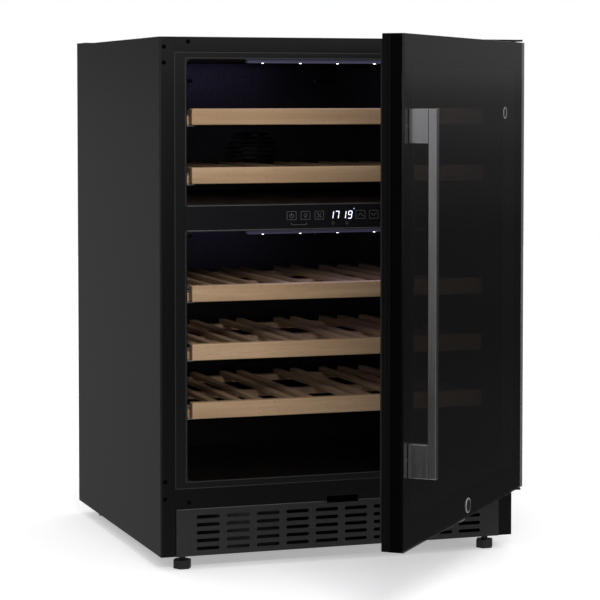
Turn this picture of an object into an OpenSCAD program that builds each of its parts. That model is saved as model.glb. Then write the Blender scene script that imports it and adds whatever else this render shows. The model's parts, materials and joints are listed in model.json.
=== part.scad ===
// Free-standing dual-zone wine cooler with a hinged glass door, five sliding
// beech shelves and a front-vented compressor bay. The origin is on the floor,
// in the middle of the casing's width, below its front plane. +Y runs into the
// cabinet and +Z is up. The door's pieces are drawn shut and swung open.

/* [Cabinet] */
// Width over the side panels
casing_w = 595; // [560:1:720]
// Depth from the front plane to the back panel
casing_d = 545; // [500:1:660]
// Height of the casing without its feet
casing_h = 808; // [780:1:980]
// Height of the levelling feet below the casing
foot_h = 22; // [18:1:40]
// Thickness of the steel sheet
sheet_t = 1; // [0.8:0.1:1.5]
// Width of the steel flange round the front
flange_w = 24; // [20:1:30]
// Cabinet side to the edge of the liner's opening
wall_w = 43.5; // [38:0.5:55]
// Top of the casing to the top of the liner's opening
ceiling_drop = 33.8; // [30:0.1:50]
// Raised edge of the back panel over the top
rear_lip_t = 1.6; // [1:0.1:3]
// How far the raised edge reaches forward
rear_lip_w = 60; // [30:1:90]

/* [Zones] */
// Casing bottom to the floor of the lower zone
zone_floor_h = 117; // [110:1:150]
// Height of the lower zone's opening
lower_zone_h = 389; // [360:1:470]
// Height of the divider between the zones
divider_h = 42; // [36:1:60]
// Thickness of the liner's wall
liner_t = 1.5; // [1:0.1:3]
// Foam behind the liner's rear wall
rear_foam_t = 43.5; // [30:0.5:60]
// Corner radius of the zone openings
liner_r = 9; // [3:0.5:20]

/* [Machine bay] */
// Height of the bay for the compressor
bay_h = 163; // [150:1:200]
// Depth of the bay from the back panel
bay_d = 145; // [135:1:175]
// Foam between the bay and the lower zone
bay_foam_t = 35; // [25:1:45]

/* [Kick plate] */
// Height of the kick plate
kick_h = 74; // [70:1:90]
// How far the kick plate stands proud of the flange
kick_proud = 2; // [1:0.5:6]
// Thickness of the kick plate
kick_t = 1.5; // [1:0.1:3]
// Slots in one row
slot_columns = 10; // [6:1:12]
// Rows of slots
slot_rows = 5; // [3:1:5]
// Length of a slot
slot_l = 37.7; // [20:0.1:40]
// Height of a slot
slot_h = 5.5; // [3:0.1:7]
// Distance from column to column
slot_pitch_x = 49.2; // [44:0.1:52]
// Distance from row to row
slot_pitch_z = 12.4; // [9:0.1:13]

/* [Door] */
// Opening angle that the door stands at
door_open = 49.4; // [0:0.1:115]
// Cabinet's side to the door's side edge
door_side_gap = 1; // [0.5:0.1:3]
// Top of the casing to the top of the door
door_drop = 5.6; // [4.5:0.1:8]
// Top of the kick plate to the door's bottom edge
door_gap = 9.4; // [8:0.1:14]
// Front glass to the back of the door without its seal
door_t = 33; // [30:0.5:45]
// Gap between the shut door and the cabinet
seal_gap = 8; // [7:0.5:10]
// Thickness of each pane
glass_t = 4; // [3:0.5:6]
// Width of the door's rails
rail_w = 45; // [40:1:60]
// Depth of the trim on the back of the door
trim_t = 13; // [12:0.5:15]
// Width of the seal
seal_w = 12; // [8:0.5:14]
// Door's side edges to the seal
seal_inset_x = 15.5; // [15:0.5:20]
// Door's top and bottom edges to the seal
seal_inset_z = 10; // [10:0.5:20]
// Gap left between the seal and the cabinet
seal_clearance = 0.4; // [0.2:0.1:1]

/* [Hinge] */
// Hinge line to the cabinet's side
hinge_inset = 12.5; // [12:0.1:14]
// Hinge line to the back of the door's frame
hinge_depth = 5; // [5:0.1:6]
// Radius of the hinge pins
hinge_pin_r = 3; // [2:0.1:3.6]
// Clearance round a turning or sliding pin
running_gap = 0.05; // [0.02:0.01:0.08]
// Length of the pins inside the door
hinge_pin_l = 15.6; // [12:0.1:17]
// Thickness of the hinge plates
bracket_t = 3; // [2:0.1:3]

/* [Handle] */
// Side of the square bar
bar_s = 12; // [10:0.5:16]
// Length of the bar
bar_l = 513; // [300:1:620]
// Door's top edge to the bar's top
bar_drop = 103.5; // [80:0.5:120]
// Door's free edge to the bar
bar_inset = 16.6; // [15:0.1:24]
// Free space between the bar and the glass
finger_gap = 29; // [25:0.5:45]
// Height of the posts at the bar's ends
post_h = 48; // [20:1:60]

/* [Lock] */
// Radius of the lock barrel
barrel_r = 8.5; // [7:0.1:9]
// Lock axis above the door's bottom edge
lock_up = 18; // [17:0.1:20]
// How far the bolt drops when the key turns
bolt_drop = 6; // [4:0.5:6]
// Width of the keeper's opening
keeper_w = 53; // [40:1:60]

/* [Shelves] */
// Height of the front rail
rail_h = 25.5; // [20:0.5:32]
// Thickness of the front rail
rail_t = 18; // [12:0.5:24]
// Side of a shelf to the liner
shelf_gap = 9; // [8:0.5:12]
// Front plane to the front rail
rail_back = 3; // [2:0.5:10]
// Rear end of a shelf to the duct cover behind it
shelf_rear_gap = 32.5; // [15:0.5:80]
// Upper zone's ceiling to the top of its first shelf
upper_drop = 77; // [60:1:90]
// Lower zone's ceiling to the top of its first shelf
lower_drop = 84; // [70:1:100]
// Shelf to shelf in the upper zone
upper_pitch = 91.5; // [80:0.5:110]
// Lowest shelf's runners above the step over the machine bay
lowest_gap = 13; // [4:0.5:40]
// Height of the wooden side rails
side_rail_h = 14; // [10:0.5:18]
// Front rail's top to the side rails' top
side_rail_drop = 12; // [8:0.5:16]
// Width of the side rails
side_rail_w = 20; // [14:0.5:24]
// Width of a slat
slat_w = 13; // [8:0.5:16]
// Thickness of a slat
slat_t = 8; // [5:0.5:10]

/* [Feet] */
// Across the corners of a foot's hexagon
foot_w = 29; // [24:1:36]
// Radius of a foot's threaded stem
stem_r = 5; // [4:0.1:6]
// Cabinet side to a foot's axis
foot_inset_x = 40; // [30:1:60]
// Front plane to the front feet's axes
foot_inset_front = 20; // [18:1:60]
// Back panel to the rear feet's axes
foot_inset_rear = 45; // [18:1:60]

/* [Hidden] */
$fn = 48;

// casing
half_w = casing_w / 2;
base_z = foot_h;
top_z = base_z + casing_h;
inner_w = half_w - sheet_t;
flange_x = half_w - flange_w;
back_y = casing_d - sheet_t;
rear_flange_w = 15;

// zones
open_w = half_w - wall_w;
floor_z = base_z + zone_floor_h;
divider_z = floor_z + lower_zone_h;
upper_z = divider_z + divider_h;
ceiling_z = top_z - ceiling_drop;
zone_back = back_y - rear_foam_t;
seam_top = top_z - flange_w;
seam_bottom = floor_z - 11;
fascia_t = 1.5;
board_w = 116;
board_x = 56;
pocket_end = 8;

// machine bay
bay_top = base_z + bay_h;
bay_y = casing_d - bay_d;
hump_y = bay_y - bay_foam_t;
hump_z = bay_top + bay_foam_t;
duct_z = floor_z - 27;
partition_t = 1.2;

// kick plate and keeper
kick_w = flange_x - 0.5;
kick_top = base_z + kick_h;
keeper_x = 2.5;
keeper_h = 7.5;
tongue_up = 3;
tongue_reach = 8;
notch_d = bolt_drop - tongue_up + 0.2;
lip_d = 10;

// door, drawn shut
door_z0 = kick_top + door_gap;
door_z1 = top_z - door_drop;
door_half = half_w - door_side_gap;
door_back = -seal_gap;
door_front = -seal_gap - door_t;
frame_front = door_front + glass_t;
trim_front = door_back - trim_t;
pane_back = trim_front + glass_t;
pane_lap = 4.5;
hinge_x = half_w - hinge_inset;
hinge_y = trim_front - hinge_depth;
bush_r = hinge_pin_r + 1;
bush_l = 18;
trim_lap = 3.5;

// handle
bar_x = -door_half + bar_inset + bar_s / 2;
bar_top = door_z1 - bar_drop;
bar_bottom = bar_top - bar_l;
post_top = bar_top - post_h / 2;
post_bottom = bar_bottom + post_h / 2;
screw_r = 2.5;
screw_gap = 0.1;

// lock
lock_z = door_z0 + lock_up;
guide_h = 6.6;
bolt_t = 3;
bolt_y = door_back - 3 - bolt_t;
crank_r = bolt_drop / sqrt(2);
crank_pin_r = 1.5;
tongue_z = kick_top + tongue_up;
tongue_t = 2.5;

// hinge brackets and their screws
bracket_reach = 8 - hinge_y;
bracket_w = 27;
ear_w = 14;
ear_t = 2;
ear_screw_r = 2;
ear_x = 7;
near_x = 45.8;
top_screw_drops = [9.9, 34.4];
top_near_drop = 1.8;
bottom_screw_lifts = [34.6, 7.6];
bottom_near_lift = 0.6;
screw_head_r = 3.6;
screw_head_h = 1.6;
upper_plate_z = door_z1 + 1.6;
lower_plate_z = door_z0 - 1.4 - bracket_t;
// places of the hinge screws, across and up, on the right-hand side
ear_places = [
    for (drop = top_screw_drops) [half_w - ear_x, door_z1 - drop],
    for (lift = bottom_screw_lifts) [half_w - ear_x, door_z0 + lift]
];
near_top = [half_w - near_x, door_z1 - top_near_drop];
near_bottom = [half_w - near_x, door_z0 + bottom_near_lift];

// shelves
shelf_half = open_w - shelf_gap;
channel_t = 1.5;
channel_gap = 0.5;
channel_drop = side_rail_drop + side_rail_h + channel_gap + channel_t;
upper_shelves = [for (i = [0:1]) ceiling_z - upper_drop - i * upper_pitch];
lower_first = divider_z - lower_drop;
lower_last = hump_z + lowest_gap + channel_drop;
lower_shelves = [for (i = [0:2]) lower_first - i * (lower_first - lower_last) / 2];
shelf_tops = concat(upper_shelves, lower_shelves);
slat_shares = [0.15, 0.285, 0.52, 0.675, 0.85];
wood_gap = 0.05;
crossbar_w = 18;
crossbar_h = 11;
side_rail_x = open_w - 4;
cover_y = zone_back - 38;
rack_front = rail_back + rail_t + wood_gap;
rack_end = cover_y - shelf_rear_gap;
runner_front = rail_back + rail_t + 1;

// cooling
fan_r = 42;
hub_r = 14;
motor_r = 16;
motor_l = 14;
shaft_r = 2;
upper_fan_z = upper_z + 70;
lower_fan_z = hump_z + 80;
condenser_fan_x = 25;
condenser_fan_y = casing_d - 73;
condenser_fan_z = base_z + 80;
compressor_x = -110;
compressor_y = casing_d - 75;
compressor_r = 58;
bay_floor = base_z + partition_t;
shell_bottom = bay_floor + 12;
gland_x = -235;
gland_up = 40;
gland_r = 8;
gland_bore_r = 4;
gland_gap = 0.1;

// colours
black_steel = [0.05, 0.05, 0.055];
black_plastic = [0.08, 0.08, 0.085];
beech = [0.78, 0.62, 0.45];
steel = [0.55, 0.56, 0.58];
dark_steel = [0.32, 0.32, 0.33];

// ---- shapes that several pieces share ----

module block(x0, x1, y0, y1, z0, z1) {
    translate([x0, y0, z0]) cube([x1 - x0, y1 - y0, z1 - z0]);
}

// an outline in X and Z, given a depth from y0 to y1
module across(y0, y1) {
    translate([0, y1, 0]) rotate([90, 0, 0]) linear_extrude(y1 - y0) children();
}

module rounded(x0, x1, z0, z1, r) {
    translate([x0 + r, z0]) square([x1 - x0 - 2 * r, z1 - z0]);
    translate([x0, z0 + r]) square([x1 - x0, z1 - z0 - 2 * r]);
    for (x = [x0 + r, x1 - r], z = [z0 + r, z1 - r]) translate([x, z]) circle(r);
}

// a round rod along Y
module rod_y(x, z, r, y0, y1) {
    translate([x, y1, z]) rotate([90, 0, 0]) cylinder(h = y1 - y0, r = r);
}

module rod_z(x, y, r, z0, z1) {
    translate([x, y, z0]) cylinder(h = z1 - z0, r = r);
}

module both_sides() {
    children();
    mirror([1, 0, 0]) children();
}

// carries a piece of the shut door to the angle the door stands at
module on_door() {
    translate([hinge_x, hinge_y, 0]) rotate([0, 0, door_open])
        translate([-hinge_x, -hinge_y, 0]) children();
}

module screw_holes(places) {
    for (p = places) rod_y(p[0], p[1], ear_screw_r + screw_gap, -ear_t - 1, 10);
}

// ---- casing ----

module side_panel() {
    color(black_steel) difference() {
        union() {
            block(inner_w, half_w, 0, casing_d, base_z, top_z);
            block(flange_x, half_w, 0, sheet_t, base_z, top_z - sheet_t);
            block(half_w - rear_flange_w, half_w, back_y, casing_d, base_z, top_z - sheet_t);
        }
        screw_holes(ear_places);
    }
}

module left_side_panel() { mirror([1, 0, 0]) side_panel(); }
module right_side_panel() { side_panel(); }

module top_panel() {
    color(black_steel) difference() {
        union() {
            block(-inner_w, inner_w, 0, casing_d - rear_lip_w, top_z - sheet_t, top_z);
            block(-flange_x, flange_x, 0, sheet_t, seam_top, top_z);
        }
        both_sides() screw_holes([near_top]);
    }
}

// rear sheet, whose raised top edge closes the top behind the top panel
module back_panel() {
    back_w = half_w - rear_flange_w;
    lip_y = casing_d - rear_lip_w;
    lip_z = top_z + rear_lip_t;
    hem_h = 20;
    color(black_steel) {
        block(-back_w, back_w, back_y, casing_d, bay_top, top_z);
        block(-inner_w, inner_w, lip_y, casing_d, top_z - sheet_t, lip_z);
        block(-half_w, half_w, lip_y, casing_d, top_z, lip_z);
        block(-back_w, back_w, casing_d, casing_d + sheet_t, top_z - hem_h, lip_z);
    }
}

module machine_cover() {
    cover_w = half_w - rear_flange_w;
    louvre_l = 36;
    louvre_h = 5;
    color(dark_steel) difference() {
        block(-cover_w, cover_w, back_y, casing_d, bay_floor, bay_top);
        for (column = [0:7], row = [0:6]) {
            x = -200 + column * 50;
            z = base_z + 50 + row * 14;
            across(back_y - 1, casing_d + 1)
                rounded(x, x + louvre_l, z, z + louvre_h, louvre_h / 2 - 0.1);
        }
        rod_y(gland_x, base_z + gland_up, gland_r + gland_gap, back_y - 1, casing_d + 1);
    }
}

module foot_places(x_signs, front, rear) {
    foot_x = half_w - foot_inset_x;
    for (sx = x_signs) {
        if (front) translate([sx * foot_x, foot_inset_front, 0]) children();
        if (rear) translate([sx * foot_x, casing_d - foot_inset_rear, 0]) children();
    }
}

module base_plate() {
    nut_h = 8;
    color(black_steel) difference() {
        union() {
            block(-inner_w, inner_w, sheet_t, back_y, base_z, bay_floor);
            foot_places([-1, 1], true, true) rod_z(0, 0, stem_r + 4, base_z, bay_floor + nut_h);
        }
        foot_places([-1, 1], true, true)
            rod_z(0, 0, stem_r + running_gap, base_z - 1, bay_floor + nut_h + 1);
    }
}

// bent sheet over the air duct and the machine bay, with the band below the door
module base_partition() {
    color(black_steel) difference() {
        union() {
            block(-flange_x, flange_x, 0, partition_t, kick_top + 0.5, seam_bottom);
            block(-inner_w, inner_w, sheet_t, bay_y, duct_z, duct_z + partition_t);
            block(-inner_w, inner_w, bay_y - partition_t, bay_y, duct_z, bay_top);
            block(-inner_w, inner_w, bay_y - partition_t, back_y, bay_top - partition_t, bay_top);
        }
        block(keeper_x - keeper_w / 2, keeper_x + keeper_w / 2, -1, partition_t + 1,
            kick_top, kick_top + keeper_h);
        both_sides() screw_holes(concat(ear_places, [near_bottom]));
    }
}

module slots() {
    first_x = -((slot_columns - 1) * slot_pitch_x + slot_l) / 2;
    mid_z = base_z + kick_h / 2 - 1;
    first_z = mid_z - (slot_rows - 1) * slot_pitch_z / 2;
    for (i = [0:slot_columns - 1], j = [0:slot_rows - 1])
        across(-kick_proud - 1, kick_t + 1)
            rounded(first_x + i * slot_pitch_x, first_x + i * slot_pitch_x + slot_l,
                first_z + j * slot_pitch_z - slot_h / 2, first_z + j * slot_pitch_z + slot_h / 2,
                slot_h / 2 - 0.1);
}

module kick_plate() {
    color(black_plastic) difference() {
        union() {
            block(-kick_w, kick_w, -kick_proud, kick_t - kick_proud, base_z, kick_top);
            block(-kick_w, kick_w, -kick_proud, lip_d, kick_top - kick_t, kick_top);
            both_sides() block(kick_w - kick_t, kick_w, -kick_proud, 0, base_z, kick_top);
        }
        slots();
        block(keeper_x - keeper_w / 2, keeper_x + keeper_w / 2, -kick_proud - 1, lip_d + 1,
            kick_top - notch_d, kick_top + 1);
    }
}

// ---- zones ----

module zone_shell(z0, z1) {
    difference() {
        across(0, zone_back + liner_t)
            rounded(-open_w - liner_t, open_w + liner_t, z0 - liner_t, z1 + liner_t,
                liner_r + liner_t);
        across(-1, zone_back) rounded(-open_w, open_w, z0, z1, liner_r);
    }
}

// the liner's rim, from the opening out to the steel flange
module rim(z0, z1, hole_z0, hole_z1) {
    difference() {
        block(-flange_x, flange_x, 0, liner_t, z0, z1);
        across(-1, liner_t + 1) rounded(-open_w, open_w, hole_z0, hole_z1, liner_r);
    }
}

module upper_liner() {
    color(black_plastic) {
        zone_shell(upper_z, ceiling_z);
        rim(upper_z - liner_t, seam_top, upper_z, ceiling_z);
    }
}

module lower_liner() {
    color(black_plastic) {
        difference() {
            zone_shell(floor_z, divider_z);
            block(-inner_w, inner_w, hump_y, casing_d, 0, hump_z);
        }
        block(-open_w - liner_t, open_w + liner_t, hump_y - liner_t, hump_y,
            floor_z - liner_t, hump_z + liner_t);
        block(-open_w - liner_t, open_w + liner_t, hump_y - liner_t, zone_back + liner_t,
            hump_z, hump_z + liner_t);
        rim(seam_bottom, divider_z + liner_t, floor_z, divider_z);
        both_sides() block(open_w, flange_x, 0, liner_t, divider_z, upper_z - liner_t);
    }
}

module zone_envelope(z0, z1) {
    block(-open_w - liner_t, open_w + liner_t, -1, zone_back + liner_t, z0 - liner_t,
        z1 + liner_t);
}

module foam_insulation() {
    color([0.85, 0.8, 0.6]) difference() {
        block(-inner_w, inner_w, liner_t, back_y, duct_z + partition_t, top_z - sheet_t);
        zone_envelope(upper_z, ceiling_z);
        difference() {
            zone_envelope(floor_z, divider_z);
            block(-half_w, half_w, hump_y, casing_d, 0, hump_z);
        }
        block(-half_w, half_w, bay_y - partition_t, casing_d, 0, bay_top);
        block(-open_w - liner_t, open_w + liner_t, 0, zone_back + liner_t, divider_z, upper_z);
        both_sides() screw_holes(concat(ear_places, [near_top, near_bottom]));
    }
}

module zone_divider() {
    color([0.85, 0.8, 0.6])
        block(-open_w, open_w, 20, zone_back, divider_z + liner_t, upper_z - liner_t);
}

// ---- control panel ----

module control_panel() {
    color(black_plastic) difference() {
        block(-open_w, open_w, fascia_t, 20, divider_z + liner_t, upper_z - liner_t);
        block(board_x - board_w / 2 - 1, board_x + board_w / 2 + 1, 0, pocket_end,
            divider_z + 8, upper_z - 8);
    }
}

module touch_glass() {
    color([0.03, 0.03, 0.035])
        block(-open_w, open_w, 0, fascia_t, divider_z + liner_t, upper_z - liner_t);
}

module display_board() {
    color([0.1, 0.3, 0.15]) {
        block(board_x - board_w / 2, board_x + board_w / 2, 5, 6.6, divider_z + 9, upper_z - 9);
        block(board_x - 6, board_x + 24, 2, 5, divider_z + 14, upper_z - 12);
    }
}

module led_strips() {
    strip_w = 150;
    color([0.9, 0.93, 1])
        for (z = [ceiling_z, divider_z])
            block(-strip_w, strip_w, 14, 26, z - 6, z);
}

// ---- hinges ----

module ear(z0, z1) {
    block(half_w - ear_w, half_w, -ear_t, 0, z0, z1);
}

module near_arm(z0, z1) {
    block(half_w - near_x - 7, half_w, -ear_t, 0, z0, z1);
}

module upper_hinge_bracket() {
    color(dark_steel) {
        difference() {
            union() {
                block(half_w - bracket_w, half_w, -bracket_reach, 0, upper_plate_z,
                    upper_plate_z + bracket_t);
                ear(door_z1 - top_screw_drops[1] - 5, upper_plate_z + bracket_t);
                near_arm(near_top[1] - 6.5, upper_plate_z + bracket_t);
            }
            screw_holes(concat(ear_places, [near_top]));
        }
        rod_z(hinge_x, hinge_y, hinge_pin_r, door_z1 - hinge_pin_l, upper_plate_z + 1);
    }
}

module lower_hinge_bracket() {
    color(dark_steel) {
        difference() {
            union() {
                block(half_w - bracket_w, half_w, -bracket_reach, 0, lower_plate_z,
                    lower_plate_z + bracket_t);
                ear(lower_plate_z, door_z0 + bottom_screw_lifts[0] + 5);
                near_arm(lower_plate_z, near_bottom[1] + 4.5);
            }
            screw_holes(concat(ear_places, [near_bottom]));
        }
        rod_z(hinge_x, hinge_y, hinge_pin_r, lower_plate_z + 1, door_z0 + hinge_pin_l);
    }
}

module hinge_screws() {
    color(steel) for (p = concat(ear_places, [near_top, near_bottom])) {
        rod_y(p[0], p[1], screw_head_r, -ear_t - screw_head_h, -ear_t);
        rod_y(p[0], p[1], ear_screw_r, -ear_t, 6);
    }
}

module hole_plugs() {
    color(black_plastic) mirror([1, 0, 0])
        for (p = concat(ear_places, [near_top, near_bottom])) {
            translate([p[0], 0, p[1]]) rotate([90, 0, 0]) rotate_extrude()
                polygon([[0, 0], [3.4, 0], [3, 0.9], [1.8, 1.4], [0, 1.5]]);
            rod_y(p[0], p[1], ear_screw_r, 0, 5);
        }
}

// ---- machine bay ----

module compressor() {
    seam_up = 50;
    foot_l = 132;
    foot_d = 88;
    pipe_r = 4;
    color([0.07, 0.07, 0.07]) translate([compressor_x, compressor_y, shell_bottom]) {
        rotate_extrude() polygon([
            [0, 0], [compressor_r - 14, 0], [compressor_r - 4, 6],
            [compressor_r - 2, seam_up], [compressor_r, seam_up],
            [compressor_r, seam_up + 6], [compressor_r - 3, seam_up + 6],
            [compressor_r - 6, 92], [compressor_r - 22, 106], [0, 112]]);
        block(-foot_l / 2, foot_l / 2, -foot_d / 2, foot_d / 2, -3, 0);
        rod_z(compressor_r - 2, 0, pipe_r, 30, 70);
    }
}

module compressor_mounts() {
    color([0.03, 0.03, 0.03])
        for (x = [-58, 58], y = [-36, 36])
            rod_z(compressor_x + x, compressor_y + y, 8, bay_floor, shell_bottom - 3);
}

// finned block on two feet, with its tubes bent outside the fins
module condenser() {
    fins = 14;
    fin_pitch = 9;
    fin_half_d = 50;
    fin_half_h = 60;
    stack_l = fins * fin_pitch;
    color([0.2, 0.2, 0.2])
        translate([condenser_fan_x + 40, condenser_fan_y, condenser_fan_z]) {
            for (i = [0:fins - 1])
                block(i * fin_pitch, i * fin_pitch + 1.2, -fin_half_d, fin_half_d,
                    -fin_half_h, fin_half_h);
            for (z = [-45:30:45], y = [-30, 0, 30]) translate([-8, y, z])
                rotate([0, 90, 0]) cylinder(h = stack_l + 16, r = 3);
            for (s = [-1, 1])
                block(-2, stack_l + 2, s * 46 - 1, s * 46 + 1,
                    bay_floor - condenser_fan_z, -fin_half_h);
            for (x = [-8, stack_l + 6]) block(x, x + 3, -33, 33, -48, 48);
        }
}

module drip_tray() {
    tray_l = 150;
    tray_d = 120;
    tray_h = 18;
    wall = 2;
    color(black_plastic) translate([compressor_x, compressor_y, shell_bottom + 116])
        difference() {
            block(-tray_l / 2, tray_l / 2, -tray_d / 2, tray_d / 2, 0, tray_h);
            block(-tray_l / 2 + wall, tray_l / 2 - wall, -tray_d / 2 + wall, tray_d / 2 - wall,
                wall, tray_h + 1);
        }
}

// ---- air and cold in the zones ----

module fin_block(half_l, z0, z1) {
    for (x = [-half_l:12:half_l]) block(x, x + 1.5, cover_y + 8, zone_back - 4, z0, z1);
    for (z = [z0 + 12:24:z1 - 8]) translate([-half_l - 8, cover_y + 20, z])
        rotate([0, 90, 0]) cylinder(h = 2 * half_l + 18, r = 4);
    block(-half_l - 10, -half_l - 7, cover_y + 8, zone_back, z0, z1);
}

module evaporators() {
    color([0.75, 0.77, 0.8]) {
        fin_block(120, upper_fan_z + 52, ceiling_z - 14);
        fin_block(120, lower_fan_z + 62, divider_z - 30);
    }
}

module duct_cover(z0, z1, fan_z) {
    cover_half = 170;
    grille_r = 40;
    bar_pitch = 8;
    slit_h = 5;
    difference() {
        block(-cover_half, cover_half, cover_y, zone_back, z0, z1);
        block(-cover_half + 2, cover_half - 2, cover_y + 2.5, zone_back + 1, z0 + 2, z1 - 2);
        for (i = [-4:4]) across(cover_y - 1, cover_y + 4) {
            half_l = sqrt(grille_r * grille_r - pow(i * bar_pitch, 2)) + 6;
            z = fan_z + i * bar_pitch;
            rounded(-half_l, half_l, z - slit_h / 2, z + slit_h / 2, slit_h / 2 - 0.1);
        }
        for (x = [-150, 110]) across(cover_y - 1, cover_y + 4)
            rounded(x, x + 40, z1 - 26, z1 - 20, 2.9);
    }
}

module duct_covers() {
    color(black_plastic) {
        duct_cover(upper_z + 4, ceiling_z - 8, upper_fan_z);
        duct_cover(hump_z + 6, divider_z - 12, lower_fan_z);
    }
}

module zone_motor(z) {
    difference() {
        rod_y(0, z, motor_r, zone_back - motor_l, zone_back);
        rod_y(0, z, shaft_r + running_gap, zone_back - motor_l - 1, zone_back - 4);
    }
}

module fan_motors() {
    color([0.15, 0.15, 0.15]) {
        zone_motor(upper_fan_z);
        zone_motor(lower_fan_z);
        translate([condenser_fan_x - 20, condenser_fan_y, condenser_fan_z]) difference() {
            union() {
                rotate([0, 90, 0]) cylinder(h = 16, r = motor_r);
                block(2, 12, -8, 8, bay_floor - condenser_fan_z, -10);
            }
            translate([4, 0, 0]) rotate([0, 90, 0]) cylinder(h = 13, r = shaft_r + running_gap);
        }
    }
}

// a fan that turns about +Z, with its shaft reaching below its hub
module fan(r, shaft_l) {
    blades = 5;
    color([0.12, 0.12, 0.13]) {
        cylinder(h = 12, r = hub_r);
        translate([0, 0, -shaft_l]) cylinder(h = shaft_l + 1, r = shaft_r);
        for (i = [0:blades - 1]) rotate([0, 0, i * 360 / blades]) intersection() {
            translate([0, 0, 6]) rotate([35, 0, 0])
                translate([hub_r - 2, -8, -0.8]) cube([r - hub_r + 4, 16, 1.6]);
            cylinder(h = 12, r = r);
        }
    }
}

module zone_fan(z) {
    translate([0, zone_back - motor_l - 2, z]) rotate([90, 0, 0]) fan(fan_r, 10);
}

module upper_fan() { zone_fan(upper_fan_z); }
module lower_fan() { zone_fan(lower_fan_z); }

module condenser_fan() {
    translate([condenser_fan_x, condenser_fan_y, condenser_fan_z]) rotate([0, 90, 0]) fan(52, 15);
}

// round gland that a mains lead would leave through
module cable_gland() {
    color(black_plastic) translate([gland_x, casing_d, base_z + gland_up]) rotate([-90, 0, 0])
        rotate_extrude() polygon([
            [gland_bore_r, -8], [gland_r, -8], [gland_r, 0], [gland_r + 2.5, 0],
            [gland_r + 2.5, 3], [gland_r - 1, 4], [gland_bore_r + 1.6, 10], [gland_bore_r, 10]]);
}

// ---- shelves ----

module runner(top) {
    ledge_z = top - channel_drop;
    lip_z = top - side_rail_drop + 1;
    runner_end = rack_end + 10;
    block(open_w - 18, open_w, runner_front, runner_end, ledge_z, ledge_z + channel_t);
    block(open_w - channel_t, open_w, runner_front, runner_end, ledge_z, lip_z + channel_t);
    block(open_w - 8, open_w, runner_front, runner_end, lip_z, lip_z + channel_t);
}

module shelf_runners() {
    color(steel) for (top = shelf_tops) both_sides() runner(top);
}

module shelf_front(top) {
    color(beech)
        block(-shelf_half, shelf_half, rail_back, rail_back + rail_t, top - rail_h, top);
}

// two side rails, three crossbars between them and ten slats, each a piece of wood of its own
module shelf_rack(top) {
    bar_z = top - side_rail_drop;
    rail_inner = side_rail_x - side_rail_w;
    crossbar_half = rail_inner - wood_gap;
    middle = (rack_front + rack_end) / 2;
    color(beech) {
        both_sides() {
            block(rail_inner, side_rail_x, rack_front, rack_end, bar_z - side_rail_h, bar_z);
            for (share = slat_shares)
                block(rail_inner * share - slat_w / 2, rail_inner * share + slat_w / 2,
                    rack_front, rack_end, bar_z + wood_gap, bar_z + slat_t);
        }
        for (y = [rack_front, middle - crossbar_w / 2, rack_end - crossbar_w])
            block(-crossbar_half, crossbar_half, y, y + crossbar_w, bar_z - crossbar_h, bar_z);
    }
}

module shelf_1_front() { shelf_front(shelf_tops[0]); }
module shelf_1_rack() { shelf_rack(shelf_tops[0]); }
module shelf_2_front() { shelf_front(shelf_tops[1]); }
module shelf_2_rack() { shelf_rack(shelf_tops[1]); }
module shelf_3_front() { shelf_front(shelf_tops[2]); }
module shelf_3_rack() { shelf_rack(shelf_tops[2]); }
module shelf_4_front() { shelf_front(shelf_tops[3]); }
module shelf_4_rack() { shelf_rack(shelf_tops[3]); }
module shelf_5_front() { shelf_front(shelf_tops[4]); }
module shelf_5_rack() { shelf_rack(shelf_tops[4]); }

// ---- door ----

module door_ring(y0, y1, inset_x, inset_z, w) {
    difference() {
        block(-door_half + inset_x, door_half - inset_x, y0, y1,
            door_z0 + inset_z, door_z1 - inset_z);
        block(-door_half + inset_x + w, door_half - inset_x - w, y0 - 1, y1 + 1,
            door_z0 + inset_z + w, door_z1 - inset_z - w);
    }
}

module handle_holes(r, y0, y1) {
    for (z = [post_top, post_bottom]) rod_y(bar_x, z, r, y0, y1);
}

module door_frame() {
    color(black_plastic) on_door() difference() {
        door_ring(frame_front, trim_front, 0, 0, rail_w);
        rod_y(0, lock_z, barrel_r + running_gap, frame_front - 1, trim_front + 1);
        handle_holes(screw_r + screw_gap, frame_front - 1, trim_front + 1);
        handle_holes(5, trim_front - 3, trim_front + 1);
        rod_z(hinge_x, hinge_y, bush_r, door_z1 - bush_l, door_z1 + 1);
        rod_z(hinge_x, hinge_y, bush_r, door_z0 - 1, door_z0 + bush_l);
    }
}

module door_inner_trim() {
    color([0.2, 0.2, 0.21]) on_door() difference() {
        door_ring(trim_front, door_back, 0, 0, rail_w + trim_lap);
        door_ring(trim_front - 1, pane_back + 0.3, rail_w - pane_lap - 0.3,
            rail_w - pane_lap - 0.3, 20);
        rod_y(0, lock_z, barrel_r + running_gap, trim_front - 1, bolt_y - 3);
        block(-9, 9, trim_front - 1, door_back - 2, door_z0 - 1, lock_z + 14);
    }
}

module outer_glass() {
    color([0.1, 0.1, 0.11, 0.6]) on_door() difference() {
        block(-door_half, door_half, door_front, frame_front, door_z0, door_z1);
        rod_y(0, lock_z, barrel_r + 0.2, door_front - 1, frame_front + 1);
        handle_holes(screw_r + screw_gap, door_front - 1, frame_front + 1);
    }
}

module inner_glass() {
    inset = rail_w - pane_lap;
    color([0.3, 0.3, 0.32, 0.5]) on_door()
        block(-door_half + inset, door_half - inset, trim_front, pane_back,
            door_z0 + inset, door_z1 - inset);
}

module glass_spacer() {
    color(steel) on_door() door_ring(frame_front, trim_front, rail_w, rail_w, 9);
}

module door_gasket() {
    color([0.06, 0.06, 0.06]) on_door()
        door_ring(door_back, -seal_clearance, seal_inset_x, seal_inset_z, seal_w);
}

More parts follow.
